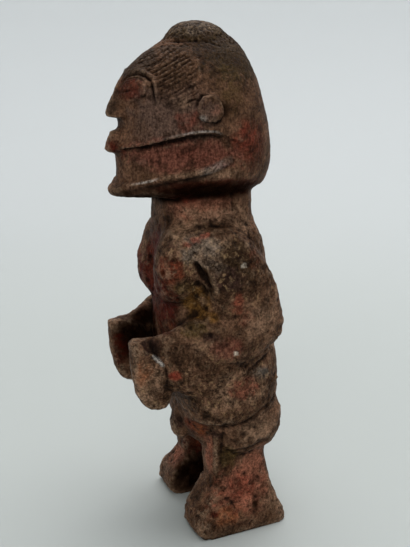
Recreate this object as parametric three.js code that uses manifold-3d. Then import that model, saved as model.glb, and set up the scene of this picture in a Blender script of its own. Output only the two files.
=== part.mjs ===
// A standing figure carved from one length of wood, in millimetres. It faces -Y, its left side is +X, and its
// soles stand on Z = 0. Horizontal outlines are stacked into the head, trunk, limbs and feet, which are then
// joined into one solid, and the carved lines are cut into that.
import * as THREE from 'three';
import { LoftGeometry } from 'three/addons/geometries/LoftGeometry.js';
import { mergeVertices } from 'three/addons/utils/BufferGeometryUtils.js';
import Module from 'manifold-3d';

// The outlines are drawn about the pith of the log, which stands this far behind the middle of the footprint.
const pithOffset = 8.9;

const head = {
  sides: 36,
  widest: -4, // Y of the widest line, level with the ears
  bluntFront: 1.8, // below 2 draws the face to a wedge
  bluntBack: 2.2,
  underside: 186,
  browHeight: 226, // above this the rows of the loft are level
  rowRise: 4.9,
  jawRows: [0, 0.22, 0.5, 0.8], // shares of the way up the jaw, from the underside to its edge
  cheekRows: [0.25, 0.6], // shares of the way up from the mouth to the brow
  guideHeight: 205, // the outline here gives each column of the loft its Y
  crown: 265,
  channelDepth: 3.4,
  channelEnd: 1.5, // Y where the mouth channel runs out behind the ear
  channelRunOut: 6,
  undercut: 0.8, // how far the channel is cut in under its upper edge
  // knots of [height, value]: where the bare face ends in front, behind and at the side
  front: [[184, -46], [187, -51.8], [189.5, -53.2], [193, -51.5], [201, -51], [209, -51.8], [213, -49.8],
    [217, -47.2], [222, -45.8], [229, -46.4], [236, -47.4], [242.5, -46], [249, -40.4], [254.8, -33.3],
    [258.1, -28.3], [262, -21.6], [266, -13]],
  back: [[184, 13], [187, 23], [190, 30], [194, 32], [200, 33.2], [207, 33.6], [219, 32.2], [230, 29.2],
    [241, 25.6], [251, 21.8], [261, 16], [266, 9.5]],
  half: [[184, 17], [187, 23.5], [190, 28], [194, 31.2], [197, 32.5], [200, 33.2], [215, 33.5], [228, 33],
    [236, 31.5], [243, 29.3], [250, 25.5], [256, 21], [261, 16], [266, 9]],
  // knots of [Y, height]: the lines that the mouth follows round the head
  jawEdge: [[-50, 190.8], [-44.3, 194.1], [-34.2, 197.6], [-18.1, 200.1], [-5.9, 203.6], [3.8, 206.5],
    [12, 207]],
  channelFoot: [[-48.5, 193.6], [-42, 197.5], [-33, 201], [-21.6, 202.9], [-12.5, 205.1], [-1.8, 208.4],
    [3.6, 210.4], [12, 209.5]],
  lipEdge: [[-50, 209.7], [-43, 211.7], [-35.7, 214.6], [-25.4, 217.5], [-14.2, 219], [-4.3, 217.6],
    [3, 214.6], [12, 212]],
};

const topKnot = {
  foot: 257, top: 271, middle: -5, halfWidth: 15.5, halfDepth: 17, rows: 5, sides: 20,
  blunt: 2.2,
  flatness: 2.7, // above 2 the crown is flatter than a ball
  lastTurn: 84.6, // degrees up the side at which the flat top starts
};

// The outline of the nose and the lip, as shares of their half width and of their depth from ridge to root.
const wedge = { flat: 0.45, shoulder: 0.05, cheek: 0.34, rootBulge: 1 };

const nose = {
  rootBack: -37, // Y inside the face where every row of the nose ends
  // rows of [height, Y of the ridge, half width at the face]
  rows: [[225, -52.6, 6.6], [227.4, -53.4, 6.4], [231, -52, 5.4], [235, -50.2, 4.4], [239.5, -48, 3.4],
    [244, -45, 2.2]],
};

const lip = {
  rootBack: -40,
  rows: [[208, -52.6, 5.4], [209.8, -54.4, 5.8], [214, -53.2, 5.6], [218.9, -51, 4.6]],
};

const ear = {
  x: 32.2, y: -11.6, z: 229.6, halfDepth: 6.8, halfHeight: 7.2, sides: 14,
  // rows of [how far the outline stands out, its share of the full size, how far it sits above the middle]
  rows: [[-3, 1, 0], [1.3, 1, 0], [2.4, 0.86, 0.2], [2.2, 0.62, 1.3], [1, 0.5, 1.6], [1.2, 0.3, 1.6]],
};

// Carved lines run over the head through places given by their turn from the middle of the face, in degrees
// towards the ear, and their height.
const eye = {
  grooveRadius: 0.95,
  arcs: [
    [[7, 242.4], [14, 245.9], [24, 246.6], [33, 244.4], [39, 240.2], [43, 233.5], [44, 227]],
    [[9, 238.4], [15, 241.6], [23, 242.2], [30, 240], [34.5, 235.6], [36, 230.5]],
  ],
  centre: [19, 236.6], halfWidth: 5.6, halfHeight: 3, bulge: 1.2,
  rooted: 0.6, // how far the middle of the bulge lies under the face
};

const hair = {
  grooveRadius: 0.95, grooves: 6,
  // the first and last groove's two ends
  lowStart: [47, 226], lowEnd: [72, 238.5], highStart: [15, 250.4], highEnd: [49, 261],
  hairline: [[74, 234], [72.5, 243], [69, 250], [63, 256]],
};

// rows of [height, front Y, back Y, half width]
const trunk = {
  sides: 24, bluntFront: 2.5, bluntBack: 2.9, widest: 2,
  rows: [[58, -13, 34, 30], [90, -22, 35, 33], [103, -27.5, 35, 30], [118, -28.2, 34, 29],
    [134, -28.2, 32, 30], [148, -28, 30, 31.5], [160, -28.4, 27, 32.5], [166.5, -28.4, 24.6, 31],
    [170, -28.2, 23.4, 28], [173, -28, 22.2, 25.4], [178, -27.8, 21.2, 25], [190, -27.8, 20.6, 25]],
};

// The upper chest runs into the shoulders, with rows of [height, front Y, back Y, inner X, outer X].
const chest = {
  sides: 16, blunt: 2.3,
  rows: [[143, -19, -4, 12, 28.5], [149, -22.5, -4, 10, 31], [156, -24.5, -4, 8, 33.5],
    [161, -24, -2, 6, 35.5], [166, -21.5, 0, 5, 34.5], [170.5, -17.5, 0, 6, 29]],
};

// The breasts hang side by side, the right one lower, with rows of
// [height, front Y on the left, front Y on the right, inner X, outer X].
const breast = {
  sides: 16, blunt: 2.3, back: -8,
  rows: [[129, -25.5, -25.5, 6, 17], [132, -29.6, -29.4, 3, 22], [136, -32.6, -31.8, 2, 25.5],
    [142, -34, -33, 1.5, 28], [148, -34.3, -32.2, 1.5, 29], [154, -34.2, -30.4, 1.5, 29.6],
    [160, -33.4, -28.4, 2, 30], [166, -31.2, -26, 3, 29], [171, -28, -23, 5, 26]],
};

// rows of [height, middle X, front Y, back Y, half width]
const upperArm = {
  sides: 14, blunt: 2.3,
  rows: [[112, 32.5, -2, 28.4, 6.6], [120, 33, -5, 31, 7.8], [129, 33, -8.5, 28.4, 8],
    [139, 32.6, -12.5, 26, 8.4], [149, 31.6, -15.5, 22.4, 9], [158, 30.4, -18, 17, 9.8],
    [164, 29, -17.5, 11.6, 9.8], [168.5, 27.6, -15, 7, 8.4], [172, 26, -10, 2, 5]],
};

// rows of [Y, middle X, lower Z, upper Z, half width]
const forearm = {
  sides: 14, blunt: 2.5,
  rows: [[-38, 19.5, 91, 115.5, 6], [-31, 22.5, 87, 118, 7.4], [-23, 26.2, 83, 123, 8],
    [-14, 29.6, 82, 128, 8.6], [-6, 31.4, 86, 130.5, 8.8], [4, 32, 95, 132.5, 8.8],
    [14, 32.2, 103, 132.5, 8.4], [22, 32, 106.4, 130, 7.4], [29.4, 31, 111, 126, 5]],
};

// rows of [height, front Y, back Y, half thickness]
const hand = {
  sides: 12, blunt: 3.4, middle: 18,
  palm: 97, rightReach: 0.89, // below the palm the right hand is this share of the left one's length
  rows: [[76.2, -41.5, -29.5, 3.8], [79, -44.6, -28, 5.2], [84, -47.3, -27, 5.8], [97, -49.6, -27, 6.2],
    [110, -50.4, -30, 6.2], [113.6, -50.2, -35, 5.6], [115, -48.6, -38, 3.8]],
  fingers: { front: -49.5, back: -31.5, grooves: 3, top: 106, foot: 76, lean: 0.1, radius: 0.8 },
  // places [X, Y, height] along the thumb, which lies on the top edge of the hand
  thumb: [[21.6, -48.6, 111.6], [23.2, -41, 112.6], [24.8, -33, 110]], thumbRadius: 2.7,
};

// rows of [height, front Y, back Y, half width]
const wrap = {
  sides: 26, bluntFront: 3.3, bluntBack: 2.5, widest: 8,
  rows: [[66, -15.5, 33.6, 35.4], [68, -18.6, 36.4, 37.8], [74, -20.4, 36.8, 38.4], [83, -24, 36.4, 38.6],
    [93, -27.4, 36.2, 38], [102, -28, 35.4, 35]],
  hemTilt: 0.11, // the hem rises towards the back by this much for each millimetre
};

// rows of [height, front Y, back Y, inner X, outer X]
const buttock = {
  sides: 18, blunt: 2.5,
  rows: [[42.6, 3, 22, 9, 25], [44.6, -2, 26.4, 5, 31], [48.5, -4.6, 30.8, 3, 35], [54, -5.6, 34, 2, 37],
    [61, -5.8, 35.6, 2, 37.6], [68, -5, 35, 3, 36.4], [74, 0, 32.6, 6, 32]],
};

// The rough fringe between the thighs, with rows of [height, front Y, back Y, half width].
const apron = {
  sides: 16, blunt: 2.6,
  rows: [[45, -9, 8, 14], [48.5, -13, 12, 18], [56, -17, 16, 24], [66, -19.4, 20, 30], [74, -19.4, 22, 32]],
  bump: { y: -15, z: 54.5, halfWidth: 8, halfDepth: 6.4, halfHeight: 9.5 },
};

// rows of [height, front Y, back Y, inner X, outer X]
const leg = {
  sides: 16, blunt: 3.8,
  rows: [[26, -7.4, 28.6, 9.8, 31.2], [32, -8.2, 27.2, 9.4, 30.4], [39, -8.6, 26, 9.2, 30],
    [46, -8.6, 25.4, 9, 30], [58, -8, 26, 8, 30]],
};

const foot = {
  sides: 16, blunt: 8,
  ankle: 27,
  step: 1.4, // the left foot stands this far ahead of its mirror place, and the right foot behind
  leftGrowth: { side: 1, heel: 1.5 }, // the left foot is broader and longer by this much
  rows: [[0, -15.5, 34.6, 12, 36.2], [3.2, -18.6, 35.2, 11.4, 36.8], [9, -18.6, 33.8, 11, 36.4],
    [14.5, -16.6, 31.4, 10.6, 35], [17.5, -13.6, 30.6, 10.4, 34], [22, -10, 29.6, 10, 32.4],
    [27, -7, 28.4, 9.8, 31]],
};

const wood = { colour: 0x5b4034, roughness: 0.72 };

const wasm = await Module();
wasm.setup();

const degrees = Math.PI / 180;
const mix = (a, b, share) => a + (b - a) * share;

// A smooth line through knots of [place, value] in rising order, held level past both ends.
function lineThrough(knots) {
  const slope = (i) => {
    const before = knots[Math.max(i - 1, 0)];
    const after = knots[Math.min(i + 1, knots.length - 1)];
    return (after[1] - before[1]) / (after[0] - before[0]);
  };
  return (place) => {
    if (place <= knots[0][0]) return knots[0][1];
    const next = knots.findIndex((knot) => knot[0] >= place);
    if (next < 0) return knots[knots.length - 1][1];
    const span = knots[next][0] - knots[next - 1][0];
    const t = (place - knots[next - 1][0]) / span;
    const level = mix(knots[next - 1][1], knots[next][1], 3 * t ** 2 - 2 * t ** 3);
    return level + span * (slope(next - 1) * (t ** 3 - 2 * t ** 2 + t) + slope(next) * (t ** 3 - t ** 2));
  };
}

// One coordinate of a rounded outline: a bluntness of 2 is round, more is squarer, and less is a wedge.
const blunted = (part, blunt) => Math.sign(part) * Math.abs(part) ** (2 / blunt);

function toSolid(geometry) {
  const bare = geometry.index ? geometry.toNonIndexed() : geometry.clone();
  bare.deleteAttribute('normal');
  bare.deleteAttribute('uv');
  const merged = mergeVertices(bare, 1e-3);
  return new wasm.Manifold(
    new wasm.Mesh({
      numProp: 3,
      vertProperties: merged.attributes.position.array,
      triVerts: new Uint32Array(merged.index.array),
    }),
  );
}

// The same shape on the figure's right side, with its faces turned to point outwards again.
function mirrored(geometry) {
  const copy = geometry.index ? geometry.toNonIndexed() : geometry.clone();
  copy.scale(-1, 1, 1);
  const position = copy.attributes.position;
  const a = new THREE.Vector3();
  const b = new THREE.Vector3();
  for (let i = 0; i < position.count; i += 3) {
    a.fromBufferAttribute(position, i + 1);
    b.fromBufferAttribute(position, i + 2);
    position.setXYZ(i + 1, b.x, b.y, b.z);
    position.setXYZ(i + 2, a.x, a.y, a.z);
  }
  return copy;
}

const bothSides = (geometry) => [geometry, mirrored(geometry)];

// Outlines that lie level, each with its own front, back and two sides, stacked upwards. The widest place is
// at the given Y, or else halfway from front to back.
function stack(rows, { sides, widest, bluntFront, bluntBack }) {
  const sections = rows.map(({ z, front, back, inner, outer }) => {
    const level = widest ?? (front + back) / 2;
    return Array.from({ length: sides }, (_, i) => {
      const turn = (i / sides) * 2 * Math.PI;
      const blunt = Math.sin(turn) < 0 ? bluntFront : bluntBack;
      const reach = Math.sin(turn) < 0 ? level - front : back - level;
      return new THREE.Vector3(
        mix(inner, outer, 0.5 + 0.5 * blunted(Math.cos(turn), blunt)),
        level + reach * blunted(Math.sin(turn), blunt),
        z,
      );
    });
  });
  return new LoftGeometry(sections, { capStart: true, capEnd: true });
}

function ellipsoid(centre, halves, across = 20, up = 14) {
  const geometry = new THREE.SphereGeometry(1, across, up);
  geometry.rotateX(Math.PI / 2);
  geometry.scale(halves.x, halves.y, halves.z);
  geometry.translate(centre.x, centre.y, centre.z);
  return geometry;
}

// A rod along a smooth path, used for carved grooves and raised rims.
function rod(path, radius, sides = 6, steps = 12) {
  const round = new THREE.Shape();
  for (let i = 0; i < sides; i += 1) {
    const turn = (i / sides) * 2 * Math.PI;
    const place = [radius * Math.cos(turn), radius * Math.sin(turn)];
    if (i === 0) round.moveTo(...place);
    else round.lineTo(...place);
  }
  return new THREE.ExtrudeGeometry(round, {
    steps, bevelEnabled: false, extrudePath: new THREE.CatmullRomCurve3(path),
  });
}

const headFront = lineThrough(head.front);
const headBack = lineThrough(head.back);
const headHalf = lineThrough(head.half);

// A place on the head: the turn runs from 0 at the middle of the face, through 90 at the left ear, to 180.
function headPoint(turn, z, inset = 0) {
  const ahead = Math.cos(turn * degrees);
  const blunt = ahead > 0 ? head.bluntFront : head.bluntBack;
  const reach = (ahead > 0 ? head.widest - headFront(z) : headBack(z) - head.widest) - inset;
  return new THREE.Vector3(
    (headHalf(z) - inset) * blunted(Math.sin(turn * degrees), blunt),
    head.widest - reach * blunted(ahead, blunt),
    z,
  );
}

// The rows of the head bend with the mouth: under the jaw edge, over the sunk channel and up to the brow.
function headRows() {
  const jawEdge = lineThrough(head.jawEdge);
  const channelFoot = lineThrough(head.channelFoot);
  const lipEdge = lineThrough(head.lipEdge);
  const channelStop = head.channelEnd + head.channelRunOut;
  const sunk = (y) => head.channelDepth * (1 - THREE.MathUtils.smoothstep(y, head.channelEnd, channelStop));
  const flush = () => 0;
  const rows = [];
  for (const share of head.jawRows) {
    rows.push({ height: (y) => mix(head.underside, jawEdge(y), share), inset: flush });
  }
  rows.push({ height: jawEdge, inset: flush });
  rows.push({ height: channelFoot, inset: sunk });
  rows.push({ height: (y) => lipEdge(y) - head.undercut, inset: sunk });
  rows.push({ height: lipEdge, inset: flush });
  for (const share of head.cheekRows) {
    rows.push({ height: (y) => mix(lipEdge(y), head.browHeight, share), inset: flush });
  }
  for (let z = head.browHeight; z < head.crown; z += head.rowRise) {
    rows.push({ height: () => z, inset: flush });
  }
  rows.push({ height: () => head.crown, inset: flush });
  return rows;
}

function headGeometry() {
  const sections = headRows().map(({ height, inset }) =>
    Array.from({ length: head.sides }, (_, i) => {
      const turn = (i / head.sides) * 360;
      const y = headPoint(turn, head.guideHeight).y;
      return headPoint(turn, height(y), inset(y));
    }),
  );
  return new LoftGeometry(sections, { capStart: true, capEnd: true });
}

function topKnotGeometry() {
  const { foot, top, middle, halfWidth, halfDepth, blunt, flatness, lastTurn } = topKnot;
  const rows = [];
  for (let i = 0; i <= topKnot.rows; i += 1) {
    const rise = Math.sin((i / topKnot.rows) * lastTurn * degrees);
    const shrink = (1 - rise ** flatness) ** (1 / blunt);
    rows.push({
      z: mix(foot, top, rise / Math.sin(lastTurn * degrees)),
      front: middle - halfDepth * shrink,
      back: middle + halfDepth * shrink,
      inner: -halfWidth * shrink,
      outer: halfWidth * shrink,
    });
  }
  return stack(rows, { sides: topKnot.sides, bluntFront: blunt, bluntBack: blunt });
}

// The nose and the upper lip: wedges with a narrow ridge in front that root inside the face.
function wedgeGeometry({ rows, rootBack }) {
  const sections = rows.map(([z, ridge, half]) => {
    const cheek = mix(ridge, rootBack, wedge.cheek);
    const shoulder = mix(ridge, rootBack, wedge.shoulder);
    const flat = half * wedge.flat;
    return [[half, rootBack], [flat, rootBack + wedge.rootBulge], [-flat, rootBack + wedge.rootBulge],
      [-half, rootBack], [-half, cheek], [-flat, shoulder], [0, ridge], [flat, shoulder], [half, cheek]]
      .map(([x, y]) => new THREE.Vector3(x, y, z));
  });
  return new LoftGeometry(sections, { capStart: true, capEnd: true });
}

// An oval shell on the side of the head: a raised rim, thicker at the lobe, round a shallow hollow.
function earGeometry() {
  const sections = ear.rows.map(([stand, share, lift]) =>
    Array.from({ length: ear.sides }, (_, i) => {
      const turn = (i / ear.sides) * 2 * Math.PI;
      return new THREE.Vector3(
        ear.x + stand,
        ear.y + ear.halfDepth * share * Math.cos(turn),
        ear.z + lift + ear.halfHeight * share * Math.sin(turn),
      );
    }),
  );
  return new LoftGeometry(sections, { capStart: true, capEnd: true });
}

function eyeBulge() {
  const [turn, height] = eye.centre;
  const place = headPoint(turn, height, eye.rooted);
  const halves = { x: eye.halfWidth, y: eye.bulge + eye.rooted, z: eye.halfHeight };
  const bulge = ellipsoid({ x: 0, y: 0, z: 0 }, halves, 10, 6);
  const along = headPoint(turn + 2, height).sub(headPoint(turn - 2, height));
  bulge.rotateZ(Math.atan2(along.y, along.x));
  bulge.translate(place.x, place.y, place.z);
  return bulge;
}

const onHead = (places) => places.map(([turn, z]) => headPoint(turn, z));

function headGrooves() {
  const grooves = eye.arcs.map((arc) => rod(onHead(arc), eye.grooveRadius, 4, 7));
  grooves.push(rod(onHead(hair.hairline), hair.grooveRadius, 4, 3));
  for (let i = 0; i < hair.grooves; i += 1) {
    const share = i / (hair.grooves - 1);
    const start = [0, 1].map((k) => mix(hair.lowStart[k], hair.highStart[k], share));
    const end = [0, 1].map((k) => mix(hair.lowEnd[k], hair.highEnd[k], share));
    const path = [0, 0.5, 1].map((along) => [0, 1].map((k) => mix(start[k], end[k], along)));
    grooves.push(rod(onHead(path), hair.grooveRadius, 3, 3));
  }
  return grooves;
}

function trunkGeometry() {
  const rows = trunk.rows.map(([z, front, back, half]) => ({ z, front, back, inner: -half, outer: half }));
  return stack(rows, trunk);
}

// One breast, from the column of its rows that holds its front.
function breastGeometry(frontColumn) {
  const rows = breast.rows.map((row) => (
    { z: row[0], front: row[frontColumn], back: breast.back, inner: row[3], outer: row[4] }
  ));
  return stack(rows, { sides: breast.sides, bluntFront: breast.blunt, bluntBack: breast.blunt });
}

function upperArmGeometry() {
  const rows = upperArm.rows.map(([z, x, front, back, half]) => (
    { z, front, back, inner: x - half, outer: x + half }
  ));
  return stack(rows, { sides: upperArm.sides, bluntFront: upperArm.blunt, bluntBack: upperArm.blunt });
}

// Upright outlines strung along Y, from the front to the back.
function forearmGeometry() {
  const sections = forearm.rows.map(([y, x, low, high, half]) =>
    Array.from({ length: forearm.sides }, (_, i) => {
      const turn = (i / forearm.sides) * 2 * Math.PI;
      return new THREE.Vector3(
        x - half * blunted(Math.cos(turn), forearm.blunt),
        y,
        mix(low, high, 0.5 + 0.5 * blunted(Math.sin(turn), forearm.blunt)),
      );
    }),
  );
  return new LoftGeometry(sections, { capStart: true, capEnd: true });
}

// The drop of a place on the fingers below the palm, for a hand that reaches by the given share.
const fingerHeight = (z, reach) => (z < hand.palm ? hand.palm - (hand.palm - z) * reach : z);

function handGeometries(reach) {
  const rows = hand.rows.map(([z, front, back, half]) => (
    { z: fingerHeight(z, reach), front, back, inner: hand.middle - half, outer: hand.middle + half }
  ));
  const thumbPath = hand.thumb.map((place) => new THREE.Vector3(...place));
  return [
    stack(rows, { sides: hand.sides, bluntFront: hand.blunt, bluntBack: hand.blunt }),
    rod(thumbPath, hand.thumbRadius, 6, 4),
  ];
}

// Upright grooves in the outer face of the hand, which leans forward as it rises.
function fingerGrooves(reach) {
  const { front, back, grooves, top, foot: tip, lean, radius } = hand.fingers;
  const face = Math.max(...hand.rows.map(([, , , halfThickness]) => halfThickness));
  return Array.from({ length: grooves }, (_, i) => {
    const y = mix(front, back, (i + 1) / (grooves + 1));
    const path = [top, hand.palm, fingerHeight(tip, reach)].map((z) => (
      new THREE.Vector3(hand.middle + face, y + (top - z) * lean, z)
    ));
    return rod(path, radius, 3, 2);
  });
}

function wrapGeometry() {
  const rows = wrap.rows.map(([z, front, back, half]) => ({ z, front, back, inner: -half, outer: half }));
  const shape = stack(rows, wrap);
  const position = shape.attributes.position;
  for (let i = 0; i < position.count; i += 1) {
    position.setZ(i, position.getZ(i) + position.getY(i) * wrap.hemTilt);
  }
  return shape;
}

function apronGeometries() {
  const rows = apron.rows.map(([z, front, back, half]) => ({ z, front, back, inner: -half, outer: half }));
  const { y, z, halfWidth, halfDepth, halfHeight } = apron.bump;
  return [
    stack(rows, { sides: apron.sides, bluntFront: apron.blunt, bluntBack: apron.blunt }),
    ellipsoid({ x: 0, y, z }, { x: halfWidth, y: halfDepth, z: halfHeight }, 10, 7),
  ];
}

function limbStack({ rows, sides, blunt }) {
  const outlines = rows.map(([z, front, back, inner, outer]) => ({ z, front, back, inner, outer }));
  return stack(outlines, { sides, bluntFront: blunt, bluntBack: blunt });
}

function feet() {
  const { side, heel } = foot.leftGrowth;
  const leftRows = foot.rows.map(([z, front, back, inner, outer]) => {
    const share = Math.max(0, 1 - z / foot.ankle);
    return [z, front, back + heel * share, inner, outer + side * share];
  });
  return [
    limbStack({ ...foot, rows: leftRows }).translate(0, -foot.step, 0),
    mirrored(limbStack(foot)).translate(0, foot.step, 0),
  ];
}

function figureSolid() {
  const pieces = [
    headGeometry(),
    topKnotGeometry(),
    wedgeGeometry(nose),
    wedgeGeometry(lip),
    ...bothSides(earGeometry()),
    ...bothSides(eyeBulge()),
    trunkGeometry(),
    ...bothSides(limbStack(chest)),
    breastGeometry(1),
    mirrored(breastGeometry(2)),
    ...bothSides(upperArmGeometry()),
    ...bothSides(forearmGeometry()),
    ...handGeometries(1),
    ...handGeometries(hand.rightReach).map(mirrored),
    wrapGeometry(),
    ...bothSides(limbStack(buttock)),
    ...apronGeometries(),
    ...bothSides(limbStack(leg)),
    ...feet(),
  ];
  let solid = pieces.map(toSolid).reduce((whole, piece) => whole.add(piece));
  const grooves = [
    ...headGrooves().flatMap(bothSides),
    ...fingerGrooves(1),
    ...fingerGrooves(hand.rightReach).map(mirrored),
  ];
  for (const groove of grooves) {
    solid = solid.subtract(toSolid(groove));
  }
  return solid;
}

function toMesh(name, solid, { colour, roughness }) {
  const { vertProperties, triVerts } = solid.getMesh();
  const indexed = new THREE.BufferGeometry();
  indexed.setAttribute('position', new THREE.BufferAttribute(vertProperties, 3));
  indexed.setIndex(new THREE.BufferAttribute(triVerts, 1));
  const geometry = indexed.toNonIndexed();
  geometry.computeVertexNormals();
  const material = new THREE.MeshStandardMaterial({ color: colour, roughness, metalness: 0 });
  const mesh = new THREE.Mesh(geometry, material);
  mesh.name = name;
  return mesh;
}

const figure = new THREE.Group();
const carving = toMesh('carved_figure', figureSolid(), wood);
carving.position.y = pithOffset;
figure.add(carving);

export default figure;
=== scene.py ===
import math
import random

import bmesh
import bpy
import numpy as np
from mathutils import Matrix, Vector, kdtree, noise
from mathutils.bvhtree import BVHTree


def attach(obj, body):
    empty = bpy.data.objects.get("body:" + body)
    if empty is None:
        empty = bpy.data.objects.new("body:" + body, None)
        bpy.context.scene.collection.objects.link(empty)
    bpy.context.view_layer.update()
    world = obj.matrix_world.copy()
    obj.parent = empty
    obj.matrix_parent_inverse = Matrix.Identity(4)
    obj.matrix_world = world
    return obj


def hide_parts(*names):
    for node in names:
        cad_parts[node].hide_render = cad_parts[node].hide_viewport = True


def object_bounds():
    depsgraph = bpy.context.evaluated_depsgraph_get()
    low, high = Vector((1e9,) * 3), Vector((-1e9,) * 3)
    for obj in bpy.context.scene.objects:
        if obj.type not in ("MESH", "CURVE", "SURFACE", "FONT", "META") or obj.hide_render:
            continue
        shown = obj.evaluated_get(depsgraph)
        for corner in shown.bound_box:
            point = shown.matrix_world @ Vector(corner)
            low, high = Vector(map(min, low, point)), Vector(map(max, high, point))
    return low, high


# A standing figure carved from one length of wood, 271 mm tall. It faces -Y and its left side is +X.
# Places and sizes are in millimetres in the figure's own frame; mm turns them into Blender's metres.
mm = 0.001

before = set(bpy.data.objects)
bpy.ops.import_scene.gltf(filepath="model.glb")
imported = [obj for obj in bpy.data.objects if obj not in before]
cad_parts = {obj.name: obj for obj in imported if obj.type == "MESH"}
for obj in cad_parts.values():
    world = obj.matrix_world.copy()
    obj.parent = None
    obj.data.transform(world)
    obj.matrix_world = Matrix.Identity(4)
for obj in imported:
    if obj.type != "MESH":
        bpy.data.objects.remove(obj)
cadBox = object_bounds()
boxLow, boxHigh = (np.array(corner, float) / mm for corner in cadBox)
print("frame loaded, box", boxLow.round(1), boxHigh.round(1))

random.seed(27)


def fade(value, low, high):
    # 0 below low, 1 above high, eased in between
    share = np.clip((value - low) / (high - low), 0, 1)
    return share * share * (3 - 2 * share)


def linear(code):
    # an sRGB hex colour as the linear values that the shader wants
    parts = [int(code[i:i + 2], 16) / 255 for i in (1, 3, 5)]
    return tuple(p / 12.92 if p <= 0.04045 else ((p + 0.055) / 1.055) ** 2.4 for p in parts) + (1,)


def addNode(tree, kind, settings=None, links=None):
    # adds a node: its settings, then its sockets, each a number, an sRGB hex colour, a node or (node, output)
    node = tree.nodes.new(kind)
    for name, value in (settings or {}).items():
        setattr(node, name, value)
    for name, value in (links or {}).items():
        if isinstance(value, bpy.types.Node):
            value = (value, 0)
        if isinstance(value, tuple) and isinstance(value[0], bpy.types.Node):
            tree.links.new(value[0].outputs[value[1]], node.inputs[name])
        else:
            node.inputs[name].default_value = linear(value) if isinstance(value, str) else value
    return node


# Camera, at the photograph's angle

shot = {
    "lens": 50,
    "sensor": 36,
    "place": (363.6, -153.0, 252.0),
    "turn": 66,  # degrees round from the front, towards the figure's left
    "tilt": 15.7,  # degrees looking down
    "nearest": 10,  # nothing closer than this is drawn
}


def makeCamera():
    data = bpy.data.cameras.new("shot")
    data.lens = shot["lens"]
    data.sensor_width = shot["sensor"]
    data.clip_start = shot["nearest"] * mm
    camera = bpy.data.objects.new("shot", data)
    camera.location = Vector(shot["place"]) * mm
    camera.rotation_euler = (math.radians(90 - shot["tilt"]), 0, math.radians(shot["turn"]))
    bpy.context.scene.collection.objects.link(camera)
    bpy.context.scene.camera = camera


makeCamera()
print("camera placed")

# Studio: a pale paper floor that sweeps up into a wall all round, soft light from overhead and behind

studio = {
    "flat": 700,  # radius of the level part of the floor
    "sweep": 900,  # radius of the curve up into the wall
    "sweepSteps": 14,
    "wall": 2600,  # height of the wall
    "gap": 0.05,  # the paper lies this far under the soles
    # the near tone is greyer: painted shade on the paper round the figure
    "nearPaper": "#aaaeac",
    "farPaper": "#c3c6c7",
    "paperFade": (150, 1400),  # how far from the figure the paper turns from the near tone to the far one; the greyer near tone is painted shade round the figure
    "paperCloud": (1.4, 0.1),  # scale of the clouds in the paper and how far, in metres, they shift its tone
    "paperGloss": (0.9, 0.2),  # roughness and specular level
    "aim": (0, 0, 130),  # where the lights point
    "worldColour": "#eef3f6",
    "worldStrength": 0.72,
    # name: place, size, power in watts, colour
    "lights": {
        "overhead": ((-270, 290, 1400), 1500, 23, "#ffffff"),
        "side": ((1200, -700, 1300), 1100, 8, "#fffaf2"),
    },
}


def mattPaper():
    # matt painted paper: no gloss, a trace of cloudiness, and painted shade that makes it greyer round where
    # the figure stands
    material = bpy.data.materials.new("matt_painted_paper")
    material.use_nodes = True
    tree = material.node_tree
    tree.nodes.clear()
    place = addNode(tree, "ShaderNodeTexCoord")
    away = addNode(tree, "ShaderNodeVectorMath", {"operation": "LENGTH"}, {0: (place, "Object")})
    scale, shift = studio["paperCloud"]
    cloud = addNode(tree, "ShaderNodeTexNoise", None,
                    {"Vector": (place, "Object"), "Scale": scale, "Detail": 2})
    cloudy = addNode(tree, "ShaderNodeMath", {"operation": "MULTIPLY_ADD"},
                     {0: cloud, 1: shift, 2: (away, "Value")})
    near, far = studio["paperFade"]
    share = addNode(tree, "ShaderNodeMapRange", {"interpolation_type": "SMOOTHSTEP"},
                    {"Value": cloudy, "From Min": near * mm, "From Max": far * mm})
    tone = addNode(tree, "ShaderNodeMix", {"data_type": "RGBA"},
                   {0: share, 6: studio["nearPaper"], 7: studio["farPaper"]})
    roughness, specular = studio["paperGloss"]
    shader = addNode(tree, "ShaderNodeBsdfPrincipled", None,
                     {"Base Color": (tone, 2), "Roughness": roughness, "Specular IOR Level": specular})
    addNode(tree, "ShaderNodeOutputMaterial", None, {"Surface": shader})
    return material


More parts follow.
